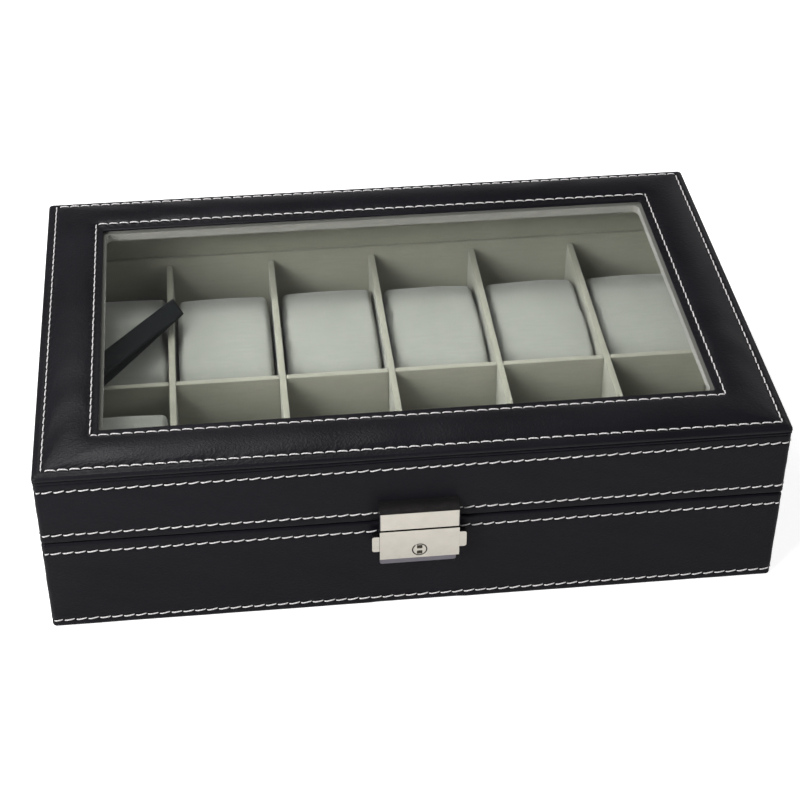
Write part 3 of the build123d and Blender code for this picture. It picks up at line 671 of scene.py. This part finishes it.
def stitches(name, body, places, along, outward, lengths, arch=0.36, slant=0.28):
    """A row of thread stitches: short tubes that rise from one hole and dive into the next.

    A point at t from -1 to 1 along a stitch lies at centre + t * length / 2 * along + bent(t) * across
    + rise(t) * outward. Bent is a slight S over the slant, rise is an arch, and the radius closes
    towards both ends."""
    thick, sunk, nose, sides = 0.27, 0.25, 0.08, 6
    t = np.array([-1.0, -0.93, -0.78, -0.45, 0.0, 0.45, 0.78, 0.93, 1.0])
    radius = thick * np.array([0.45, 0.8, 0.97, 1.0, 1.0, 1.0, 0.93, 0.72, 0.4])
    rise = -sunk + (arch + sunk) * (1 - np.abs(t) ** 4.5)
    count, rings = len(places), len(t)
    across = np.cross(outward, along)
    draw = np.random.default_rng(len(name) * 7 + count)
    share = lengths / lengths.max()
    swing = slant * share * (1 + draw.uniform(-0.3, 0.3, count))
    size = 1 + draw.uniform(-0.06, 0.06, count)
    ply = t * lengths[:, None] / 2
    bent = (t + 0.18 * np.sin(pi * t)) * swing[:, None]
    middle = places[:, None] + ply[..., None] * along[:, None] + bent[..., None] * across[:, None]
    middle = middle + (rise * size[:, None])[..., None] * outward[:, None]
    angle = np.arange(sides) * 2 * pi / sides
    spoke = np.cos(angle)[:, None] * across[:, None] + np.sin(angle)[:, None] * outward[:, None]
    rounds = middle[:, :, None] + radius[:, None, None] * spoke[:, None] * size[:, None, None, None]
    tips = middle[:, [0, -1]] + np.array([-nose, nose])[:, None] * along[:, None]
    points = np.concatenate([rounds.reshape(count, -1, 3), tips], 1)
    tube, fans = tube_faces(rings, sides)
    offset = (np.arange(count) * (rings * sides + 2))[:, None, None]
    faces = [(tube[:, ::-1] + offset).reshape(-1, 4), (fans[:, [1, 0, 2]] + offset).reshape(-1, 3)]
    twist = np.zeros_like(points)
    twist[:, :-2, 0] = np.repeat(ply, sides, axis=1) + places.sum(1)[:, None]
    twist[:, :-2, 1] = np.tile(np.cos(angle), rings)
    twist[:, :-2, 2] = np.tile(np.sin(angle), rings)
    piece = add_mesh(name, points, faces, THREAD, [("thread", "FLOAT_VECTOR", twist)])
    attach(piece, body)


def row_round_case(row, half_x, half_y, z, margin, plates=((), (), (), ())):
    """Middles, directions and lengths of the stitches of a row round a rectangle at one height.

    A stitch that meets a corner or a plate, given per side as spans along it, is cut short there."""
    beyond, fine, half_stitch, shortest = 5, 0.01, 0.465, 1.3
    places, along, outward, lengths = [], [], [], []
    for side in range(4):
        angle = (side - 1) * pi / 2
        out = np.array([cos(angle), sin(angle), 0.0])
        forward = np.array([-out[1], out[0], 0.0])
        half, stand = (half_x, half_y) if side % 2 == 0 else (half_y, half_x)
        s = np.arange(-half - beyond, half + beyond, fine)
        pitch, middle = stitch_phase(row, np.full(len(s), side), s)
        found = s[1:][np.diff(np.floor((s - middle) / pitch)) > 0]
        stops = [-half + margin, *sum(plates[side], ()), half - margin]
        for low, high in zip(stops[::2], stops[1::2]):
            start = np.maximum(found - half_stitch * pitch[0], low)
            end = np.minimum(found + half_stitch * pitch[0], high)
            start, end = start[end - start > shortest], end[end - start > shortest]
            centre = (start + end)[:, None] / 2
            places.append(out * stand + forward * centre + [0.0, 0.0, z])
            along.append(np.broadcast_to(forward, (len(centre), 3)))
            outward.append(np.broadcast_to(out, (len(centre), 3)))
            lengths.append(end - start)
    return [np.concatenate(parts) for parts in (places, along, outward, lengths)]


def all_stitches():
    """Six rows: two on the lid's top, two on its sides and two on the base's sides."""
    top_sunk, side_sunk = 0.14, 0.12
    for row, inset, z in (("top_outer", OUTER_SEAM, SEAM_OUT_Z), ("top_inner", INNER_SEAM, SEAM_IN_Z)):
        places, along, outward, lengths = row_round_case(row, HALF_X - inset, HALF_Y - inset, z, 0.1)
        up = np.zeros_like(outward)
        up[:, 2] = 1.0
        places[:, 2] -= top_sunk
        stitches(row + "_stitches", "lid", places, along, up, lengths, slant=-0.14)
    lock = ((-LOCK_CLEAR, LOCK_CLEAR),)
    hinges = tuple((x - HINGE_CLEAR, x + HINGE_CLEAR) for x in (-HINGE_X, HINGE_X))
    plated, free = (lock, (), hinges, ()), ((), (), (), ())
    for row, body, z, plates in (
        ("lid_upper", "lid", LID_UPPER_Z, free),
        ("lid_lower", "lid", LID_LOWER_Z, plated),
        ("base_upper", "base", BASE_UPPER_Z, plated),
        ("base_lower", "base", BASE_LOWER_Z, free),
    ):
        places, along, outward, lengths = row_round_case(row, WRAP_X, WRAP_Y, z, 0.7, plates)
        by_lock = (outward[:, 1] < -0.5) & (plates is plated)
        lift = np.where(by_lock, np.clip((np.abs(places[:, 0]) - LOCK_CLEAR - 0.5) / PLATE_FADE, 0, 1), 1.0)
        places = places + (SWELL * lift - side_sunk)[:, None] * outward
        stitches(row + "_stitches", body, places, along, outward, lengths, arch=0.28)


# Pillows

PILLOW_HALF_X = 21.0
PILLOW_HALF_Y = 40.0
PILLOW_HEIGHT = 37.3
PILLOW_Z = 5.1
COLUMN = 48.3
ROW_Y = 47.1
BACK_SHIFTS = (0.9, 0.0, 0.5, 0.5, 0.7, 1.0)
FRONT_SHIFTS = (0.4, -0.5, 0.3, -0.6, 0.5, -0.3)
BACK_SLIDES = (1.8, 4.5, 3.6, 5.3, 5.4, 4.8)
FRONT_SLIDES = (-4.0, 5.6, 5.7, 5.5, 5.8, 5.6)


def arc(a, b, c, count):
    """Points along the circle from a over b to c, without the last one."""
    (ax, ay), (bx, by), (cx, cy) = a, b, c
    d = 2 * (ax * (by - cy) + bx * (cy - ay) + cx * (ay - by))
    ux = ((ax**2 + ay**2) * (by - cy) + (bx**2 + by**2) * (cy - ay) + (cx**2 + cy**2) * (ay - by)) / d
    uy = ((ax**2 + ay**2) * (cx - bx) + (bx**2 + by**2) * (ax - cx) + (cx**2 + cy**2) * (bx - ax)) / d
    start, middle, end = (np.arctan2(y - uy, x - ux) for x, y in (a, b, c))
    middle = start + (middle - start + pi) % (2 * pi) - pi
    end = middle + (end - middle + pi) % (2 * pi) - pi
    t = np.linspace(start, end, count, endpoint=False)
    radius = np.hypot(ax - ux, ay - uy)
    return np.stack([ux + radius * np.cos(t), uy + radius * np.sin(t)], -1)


def pillow_outline(count):
    """Outline of a pillow seen from its side panel, as even steps along lines and arcs.

    It is flat below, rounds up from the foot to the belly, leans in over the shoulder and is
    crowned on top."""
    foot, foot_mid, belly = (22.0, 0.0), (36.0, 5.8), (PILLOW_HALF_Y, 18.0)
    shoulder_mid, shoulder, crown = (35.4, 29.6), (22.4, 35.6), (0.0, PILLOW_HEIGHT)
    steps = 60
    right = np.concatenate([
        np.stack([np.linspace(0.0, foot[0], steps, endpoint=False), np.zeros(steps)], -1),
        arc(foot, foot_mid, belly, steps), arc(belly, shoulder_mid, shoulder, steps),
        arc(shoulder, crown, (-shoulder[0], shoulder[1]), 2 * steps)[:steps], [crown],
    ])
    loop = np.concatenate([right, (right * [-1, 1])[-2:0:-1]])
    closed = np.concatenate([loop, loop[:1]])
    run = np.concatenate([[0], np.cumsum(np.hypot(*np.diff(closed, axis=0).T))])
    even = np.linspace(0, run[-1], count, endpoint=False)
    return np.interp(even, run, closed[:, 0]), np.interp(even, run, closed[:, 1])


def pillow_shape():
    """Points and faces of a stuffed pillow about its own foot: a band round it and two side panels.

    Rows go from the middle of one panel out to its edge, round the edge and across the band. At a
    row the outline is drawn in by a tuck: a quarter circle at the edge, a slight crown between."""
    columns, edge, bulge, crown = 112, 2.6, 0.25, 0.4
    y, z = pillow_outline(columns)
    turn = np.linspace(0, pi / 2, 7)[1:]
    across = np.linspace(0, 1, 10)[1:]
    flat = PILLOW_HALF_X - edge
    panel_x = PILLOW_HALF_X + bulge * np.cos(across * pi / 2)
    panel_tuck = 17.5 * (1 - across) + edge + crown
    edge_tuck = edge * (1 - np.sin(turn)) + crown
    x = np.concatenate([panel_x, flat + edge * np.cos(turn), flat * (1 - across)])
    tuck = np.concatenate([panel_tuck, edge_tuck, crown * (1 - across) ** 2])
    x = np.concatenate([-x, x[-2::-1]])
    tuck = np.concatenate([tuck, tuck[-2::-1]])[:, None]
    middle = PILLOW_HEIGHT * 0.46
    grid_y = y * (1 - tuck / PILLOW_HALF_Y)
    grid_z = middle + (z - middle) * (1 - tuck / (PILLOW_HEIGHT * 0.58))
    grid_z = np.where(tuck < 6, np.maximum(grid_z, 0.0), grid_z)
    points = np.stack([np.repeat(x[:, None], columns, 1), grid_y, grid_z], -1)
    poles = [[-PILLOW_HALF_X - bulge, 0, middle], [PILLOW_HALF_X + bulge, 0, middle]]
    return np.concatenate([points.reshape(-1, 3), poles]), tube_faces(len(points), columns)


def stuffed(points, faces, seed):
    """The same pillow swollen by its filling.

    It starts a little smaller, pushed in or out by lumps that fade as bell curves. A cloth
    simulation under pressure swells it, and each point's move is capped."""
    lumps, spread, frames, most = 14, 11.0, 20, 1.3
    draw = np.random.default_rng(seed)
    bumps = draw.uniform(-40, 40, (lumps, 3)) * [0.5, 1.0, 0.5] + [0, 0, 19]
    push = draw.uniform(-0.5, 0.5, (lumps, 3))
    near = np.exp(-(((points[:, None] - bumps) / spread) ** 2).sum(-1))
    start = points * 0.985 + near @ push
    piece = add_mesh("stuffing", start, faces, VELVET)
    cloth = piece.modifiers.new("cloth", "CLOTH")
    settings = cloth.settings
    settings.quality = 5
    settings.mass = 0.2
    settings.tension_stiffness = 18
    settings.compression_stiffness = 18
    settings.bending_stiffness = 0.4
    settings.use_pressure = True
    settings.uniform_pressure_force = 4.0
    settings.effector_weights.gravity = 0.0
    cloth.point_cache.frame_start = 1
    cloth.point_cache.frame_end = frames
    for frame_number in range(1, frames + 1):
        bpy.context.scene.frame_set(frame_number)
    swollen = piece.evaluated_get(bpy.context.evaluated_depsgraph_get()).data
    moved = np.zeros(len(points) * 3, np.float32)
    swollen.vertices.foreach_get("co", moved)
    bpy.context.scene.frame_set(1)
    bpy.data.objects.remove(piece)
    step = moved.reshape(-1, 3) / MM - start
    length = np.linalg.norm(step, axis=1, keepdims=True)
    result = start + step * np.minimum(1.0, most / np.maximum(length, 1e-6))
    room_x, room_y = PILLOW_HALF_X + 0.35, PILLOW_HALF_Y + 0.1
    result[:, 0] = np.clip(result[:, 0], -room_x, room_x)
    result[:, 1] = np.clip(result[:, 1], -room_y, room_y)
    result[:, 2] = np.maximum(result[:, 2], 0.0)
    return result


def pillows():
    """Twelve pillows in two rows, from three stuffed shapes, some turned end for end."""
    points, faces = pillow_shape()
    shapes = [stuffed(points, faces, seed) for seed in (21, 22, 23)]
    for index in range(12):
        back, number = index < 6, index % 6 + 1
        row = "back" if back else "front"
        shift = (BACK_SHIFTS if back else FRONT_SHIFTS)[number - 1]
        slide = (BACK_SLIDES if back else FRONT_SLIDES)[number - 1]
        row_y = ROW_Y if back else -ROW_Y
        centre = np.array([(number - 3.5) * COLUMN + shift, row_y - slide, PILLOW_Z])
        turned = -1.0 if index % 2 else 1.0
        place = shapes[index % 3] * [turned, turned, 1.0] + centre
        node = f"{row}_pillow_{number}"
        piece = add_mesh(node + "_velvet", place, faces, VELVET)
        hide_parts(node)
        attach(piece, node + "_body")


# Ribbon

def ribbon():
    """Folded ribbon that stops the lid.

    In the flat it runs at a bearing across lines parallel to the left wall. A lower leaf rises
    slowly from the wall to the fold, an upper leaf goes back to the wall, and both ends turn
    against the walls along slanted creases. The lid turns a line by its share of the blend. That
    share grows by 1 / its distance from the hinge, so that the bend is even, and the line's height
    is where the blend's smooth step from 0 to 1 has that share."""
    width, leaf, bearing, fold_slant = 11.2, 84.4, radians(53.3), 0.643
    root_y, root_to_hinge, leaf_depth = -16.1, 117.8, 67.6
    wall, lid_wall = -143.3, -145.35
    low, high = 45.35, 54.4
    lower_end, upper_end = 16.0, 15.0
    dx, dy = cos(bearing), sin(bearing)
    across = np.linspace(-0.5, 0.5, 9) * width
    crease = across * dy / dx
    over = (wall - lid_wall) / dx

    def part(x, along, z):
        """Points of the ribbon at distances along it, on lines across it."""
        y = root_y + across * dx + along * dy
        return np.stack(np.broadcast_arrays(x, y, z), -1)

    def steps(start, end, count, endpoint=True):
        """Even steps as a column."""
        return np.linspace(start, end, count, endpoint=endpoint)[:, None]

    share = steps(0, 1, 48)
    turned = np.cumsum(1 / (root_to_hinge - leaf_depth * share))
    turned = 0.5 * (turned - turned[0]) / (turned[-1] - turned[0])
    risen = (0.5 - np.sin(np.arcsin(1 - 2 * turned) / 3))[:, None]
    length = crease + share * (leaf + fold_slant * across - crease)
    lower = part(wall + length * dx - across * dy, length, low + (high - low) * risen)
    upper = lower[::-1][1:] * [1, 1, -1] + [0, 0, low + high]
    down, lip, rise = steps(lower_end, 0, 12, False), steps(0, over, 5)[1:], steps(0, upper_end, 12)[1:]
    points = np.concatenate([
        part(wall, crease - down, low - down * dx),
        lower,
        upper,
        part(wall - lip * dx, crease - lip, high),
        part(lid_wall, crease - over - rise, high + rise * dx),
    ])
    step = np.linalg.norm(np.diff(points[:, 4], axis=0), axis=1)
    flat = np.concatenate([[0], np.cumsum(step)])
    weave = np.stack(np.broadcast_arrays(flat[:, None], across, 0.0), -1)
    piece = add_mesh("lid_ribbon", points, [grid_faces(*points.shape[:2])], RIBBON,
                     [("weave", "FLOAT_VECTOR", weave)])
    solid = piece.modifiers.new("thickness", "SOLIDIFY")
    solid.thickness = 0.28 * MM
    solid.offset = 0.0
    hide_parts("ribbon_stay")
    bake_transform(piece)


# Metalwork

def softened_copy(name, node, body, look, width, segments):
    """A copy of a CAD node's mesh with its corners merged and its edges slightly rounded."""
    mesh = nodes[node].data.copy()
    mesh.name = name
    piece = bpy.data.objects.new(name, mesh)
    bpy.context.scene.collection.objects.link(piece)
    mesh.materials.clear()
    mesh.materials.append(look)
    weld = piece.modifiers.new("weld", "WELD")
    weld.merge_threshold = 0.00001
    bevel = piece.modifiers.new("edges", "BEVEL")
    bevel.width = width * MM
    bevel.segments = segments
    bevel.limit_method = "ANGLE"
    bevel.angle_limit = radians(35)
    for polygon in mesh.polygons:
        polygon.use_smooth = False
    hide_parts(node)
    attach(piece, body)


def tab_springs():
    """Halves of the coil spring between the two tabs: each starts at the middle and reaches towards its own
    tab.

    The wire's middle at a turn angle lies as far along X as the angle's share of the length, and on a
    circle round the spring's axis. The wire is a tube round that line."""
    low, high = (np.array(corner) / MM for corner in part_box("tab_spring"))
    wire, turns, sides, steps = 0.2, 3, 10, 96
    middle = (low + high) / 2
    radius = (high[1] - low[1]) / 2 - wire
    reach = high[0] - middle[0] - wire
    for name, sign in (("left", -1.0), ("right", 1.0)):
        t = np.linspace(0, 1, steps + 1)
        angle = t * turns * 2 * pi
        spoke = np.stack([np.zeros_like(t), np.cos(angle), np.sin(angle)], -1)
        centre = middle + radius * spoke + np.stack([sign * t * reach, 0 * t, 0 * t], -1)
        sweep = np.gradient(centre, axis=0)
        sweep /= np.linalg.norm(sweep, axis=1, keepdims=True)
        third = np.cross(sweep, spoke)
        turn = (np.arange(sides) * 2 * pi / sides)[:, None]
        rounds = spoke[:, None] * np.cos(turn) + third[:, None] * np.sin(turn)
        points = np.concatenate([(centre[:, None] + wire * rounds).reshape(-1, 3), centre[[0, -1]]])
        piece = add_mesh(f"{name}_spring_half", points, tube_faces(steps + 1, sides), STEEL)
        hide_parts("tab_spring")
        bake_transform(piece)


def dress(look, *names):
    """Put a material on CAD nodes."""
    for name in names:
        slots = nodes[name].data.materials
        for index in range(len(slots)):
            slots[index] = look


def build():
    """Every piece of the object."""
    sides = ("front", "back", "left", "right")
    walls = [f"{part}_{side}_wall" for part in ("base", "lid") for side in sides]
    dress(BOARD, "bottom_board", "window_board", *walls)
    dress(CARD, "panel_card")
    dress(FELT, "underside_sheet")
    dress(GLASS, "window_glass")
    dress(LINING, "floor_lining", "lid_wall_lining")
    dress(LEDGE_IN_PAINTED_SHADE, "window_lining")
    dress(STEEL, "hinge_pins", "hinge_lid_screws", "hinge_base_screws", "lock_tacks", "strike_tacks",
          "key_cam", "catch_prongs", "strike_back_plate")
    lid_leather()
    base_leather()
    top_cover()
    foam_filling()
    all_stitches()
    pillows()
    cloths = [(f"divider_{number}", f"cross_divider_{number}", 0.7) for number in range(1, 6)]
    cloths.append(("long_divider", "long_divider", 0.7))
    cloths += [(f"{side}_liner", f"{side}_liner", 0.6) for side in sides]
    for name, node, width in cloths:
        softened_copy(name + "_cloth", node, "base", LINING, width, 3)
    ribbon()
    tab_springs()
    for name, node, body, look, width, segments in (
        ("lock_front", "lock_case", "base", NICKEL, 0.35, 3),
        # The back plate's dark nickel is painted shade.
        ("lock_plate", "lock_back_plate", "base", SHADED_NICKEL, 0.15, 2),
        ("strike_front", "strike_case", "lid", NICKEL, 0.6, 4),
        ("left_tab", "left_push_tab", "left_tab", NICKEL, 0.3, 3),
        ("right_tab", "right_push_tab", "right_tab", NICKEL, 0.3, 3),
        ("key_face", "key_plug", "key", NICKEL, 0.15, 2),
        ("base_hinge_leaves", "hinge_base_leaves", "base", NICKEL, 0.15, 2),
        ("lid_hinge_leaves", "hinge_lid_leaves", "lid", NICKEL, 0.15, 2),
    ):
        softened_copy(name, node, body, look, width, segments)


def floor():
    """A plain pale sweep: flat under the object, rising by a square to a low rim all round.

    Rays from the camera, in mirrors and through glass see it near white, its shadow kept."""
    radius = np.array([20, 300, 900, 1500, 1800, 1950, 2080, 2180, 2250, 2300, 2330, 2350], float)
    flat, rim, rim_height, spokes = 1800, 2350, 700.0, 96
    rise = rim_height * np.clip((radius - flat) / (rim - flat), 0, 1) ** 2
    radius, rise = radius[:, None], rise[:, None]
    angle = np.linspace(0, 2 * pi, spokes, endpoint=False)
    points = np.broadcast_arrays(radius * np.cos(angle), radius * np.sin(angle), rise)
    points = np.stack(points, -1).reshape(-1, 3)
    k = np.arange(spokes)
    middle = np.stack([k, (k + 1) % spokes, np.full(spokes, len(points))], -1)
    points = np.concatenate([points, [[0, 0, 0]]])
    look = Look("pale_floor", (0.88, 0.88, 0.88), 0.9)
    cloudy = look.noise(look.place(), 3.0, 2.0, 0.5)
    look.set(Base_Color=look.ramp(cloudy, 0.3, 0.7, (0.87, 0.87, 0.87), (0.89, 0.89, 0.89)))
    ray = look.node("LightPath").outputs
    seen = look.maths("MULTIPLY", ray["Is Glossy Ray"], 0.2)
    seen = look.maths("ADD", ray["Is Camera Ray"], seen)
    seen = look.maths("ADD", seen, ray["Is Transmission Ray"])
    glow = look.maths("MULTIPLY", look.maths("MINIMUM", seen, 1.0), 0.75)
    look.set(Emission_Color=(1.0, 1.0, 1.0, 1.0), Emission_Strength=glow, Specular_IOR_Level=0.0)
    faces = grid_faces(len(radius), spokes, wrap_columns=True)[:, ::-1]
    piece = add_mesh("floor", points, [faces, middle], look.material)


def lamp(name, place, target, size, power):
    """A rectangular soft lamp turned towards a point."""
    data = bpy.data.lights.new(name, "AREA")
    data.shape = "RECTANGLE"
    data.size, data.size_y = size
    data.energy = power
    light = bpy.data.objects.new(name, data)
    bpy.context.scene.collection.objects.link(light)
    light.location = place
    aim = np.array(place, float) - np.array(target, float)
    light.rotation_euler = Vector(aim).to_track_quat("Z", "Y").to_euler()


def studio():
    """A dim room: a large soft key, a window above, and weak fills from the right and from behind."""
    world = bpy.data.worlds.new("surroundings")
    bpy.context.scene.world = world
    world.use_nodes = True
    background = world.node_tree.nodes["Background"]
    background.inputs["Color"].default_value = (1.0, 1.0, 1.0, 1.0)
    background.inputs["Strength"].default_value = 0.06
    lamp("key", (-1.05, -0.80, 0.95), (0, 0, 0.05), (0.75, 0.75), 26.5)
    lamp("window", (-0.24, 0.30, 0.76), (-0.1, -0.05, 0.08), (0.26, 0.14), 3.0)
    lamp("fill", (1.3, -0.45, 1.1), (0, 0, 0.05), (0.8, 0.8), 5.2)
    lamp("rear", (1.05, 1.17, 0.95), (0.1, 0, 0.08), (0.8, 0.9), 2.2)


def camera():
    """The photo's view: fitted place, bearing, tilt and roll."""
    data = bpy.data.cameras.new("camera")
    data.lens = 85.48
    data.sensor_width = 36.0
    data.clip_end = 20.0
    seen = bpy.data.objects.new("camera", data)
    bpy.context.scene.collection.objects.link(seen)
    bearing, tilt, roll = 0.1124, 0.6572, 0.0044
    forward = np.array([sin(bearing) * cos(tilt), cos(bearing) * cos(tilt), -sin(tilt)])
    right = np.array([cos(bearing), -sin(bearing), 0.0])
    up = np.cross(right, forward)
    right, up = right * cos(roll) + up * sin(roll), -right * sin(roll) + up * cos(roll)
    turn = Matrix([[right[i], up[i], -forward[i]] for i in range(3)])
    seen.matrix_world = Matrix.Translation((-0.07188, -0.66946, 0.54840)) @ turn.to_4x4()
    bpy.context.scene.camera = seen


build()
floor()
studio()
camera()
bpy.context.scene.view_settings.view_transform = "Standard"
